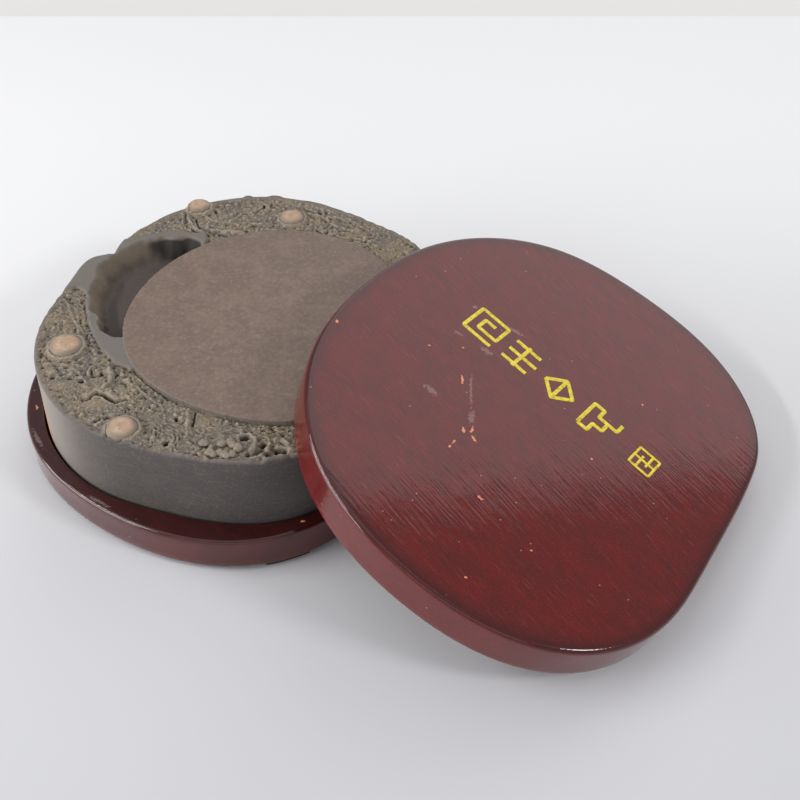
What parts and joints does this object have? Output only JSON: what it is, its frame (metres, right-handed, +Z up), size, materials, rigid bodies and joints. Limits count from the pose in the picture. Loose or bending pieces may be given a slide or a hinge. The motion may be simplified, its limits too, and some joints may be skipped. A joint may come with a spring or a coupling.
{
  "type": "boxed inkstone",
  "caption": "Carved natural-outline inkstone in a red-lacquered wooden tray, with its hollow wooden lid off and leaning on the stone.",
  "frame": {"origin": "on the table, under the middle of the whole object as stored (lid leaning on the stone)", "axes": "+Z up; +X from the tray towards the leaning lid; +Y away from the viewer, towards the back of the stone"},
  "size_m": [0.3144, 0.2576, 0.074],
  "materials": {
    "red_lacquered_wood": "dark red stain under gloss varnish, worn",
    "dark_foot_wood": "dark stained, matt",
    "carved_slate": "honed grinding face, carved and matt elsewhere",
    "eye_stone": "pale pink-brown natural spots, rubbed smooth",
    "gold_paint": "flat gold paint in shallow cuts"
  },
  "bodies": {
    "tray": {"tray": "red_lacquered_wood", "foot_1": "dark_foot_wood", "foot_2": "dark_foot_wood", "foot_3": "dark_foot_wood", "foot_4": "dark_foot_wood"},
    "inkstone": {"inkstone": "carved_slate", "stone_eye_1": "eye_stone", "stone_eye_2": "eye_stone", "stone_eye_3": "eye_stone", "stone_eye_4": "eye_stone"},
    "lid": {"lid": "red_lacquered_wood", "gilt_fret_spiral": "gold_paint", "gilt_fret_comb": "gold_paint", "gilt_fret_lozenge": "gold_paint", "gilt_fret_step": "gold_paint", "gilt_seal": "gold_paint"}
  },
  "joints": [
    {"name": "stone_lift", "type": "slide", "parent": "tray", "child": "inkstone", "axis": [0, 0, 1], "range_m": [0, 0.06]},
    {"name": "lid_lift", "type": "slide", "parent": "inkstone", "child": "lid", "axis": [0, 0, 1], "range_m": [0, 0.1]}
  ]
}
